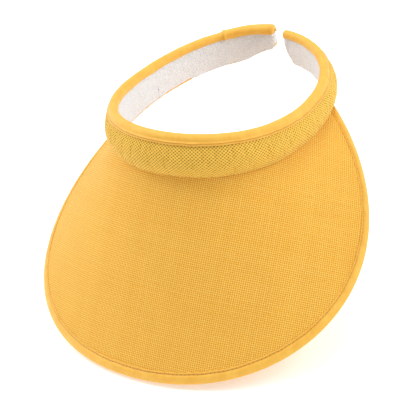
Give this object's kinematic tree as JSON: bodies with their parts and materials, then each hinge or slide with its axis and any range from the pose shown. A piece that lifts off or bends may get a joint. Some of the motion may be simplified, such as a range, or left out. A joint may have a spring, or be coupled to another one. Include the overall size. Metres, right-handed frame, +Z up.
{
  "type": "sun visor",
  "caption": "Sun visor: an open, sprung and padded head ring with a terry lining and a wide, downward-sloping fabric brim with a bound edge; the two rear arms flex open.",
  "frame": {"origin": "centre of the head opening, at half the height of the band", "axes": "+Z up, square to the plane of the head ring; the wearer faces -Y, so the brim points to -Y and the open back is at +Y; +X is the wearer's left"},
  "size_m": [0.2654, 0.2537, 0.1641],
  "materials": {
    "brim_board": "matte",
    "spring_strip": "satin",
    "foam": "matte",
    "terry": "matte",
    "thread": "satin",
    "binding_tape": "satin",
    "brim_fabric": "matte",
    "band_fabric": "matte"
  },
  "bodies": {
    "visor_front": {"brim_core": "brim_board", "brim_edge_binding": "binding_tape", "brim_edge_thread": "thread", "brim_top_fabric": "brim_fabric", "brim_under_fabric": "brim_fabric", "front_binding_thread": "thread", "front_foam_pad": "foam", "front_outer_fabric": "band_fabric", "front_spring_core": "spring_strip", "front_terry_sweatband": "terry", "front_top_binding": "binding_tape"},
    "left_arm": {"left_binding_thread": "thread", "left_end_facing": "band_fabric", "left_foam_pad": "foam", "left_outer_fabric": "band_fabric", "left_spring_core": "spring_strip", "left_terry_sweatband": "terry", "left_top_binding": "binding_tape"},
    "right_arm": {"right_binding_overlap": "binding_tape", "right_binding_thread": "thread", "right_end_facing": "band_fabric", "right_foam_pad": "foam", "right_outer_fabric": "band_fabric", "right_spring_core": "spring_strip", "right_terry_sweatband": "terry", "right_top_binding": "binding_tape"}
  },
  "joints": [
    {"name": "left_arm_flex", "type": "hinge", "parent": "visor_front", "child": "left_arm", "pos_m": [0.066, 0.0527, 0], "axis": [0, 0, -1], "range_deg": [0, 20], "stiffness_Nm_per_rad": 0.35},
    {"name": "right_arm_flex", "type": "hinge", "parent": "visor_front", "child": "right_arm", "pos_m": [-0.0663, 0.0528, 0], "axis": [0, 0, 1], "range_deg": [0, 20], "stiffness_Nm_per_rad": 0.35}
  ]
}
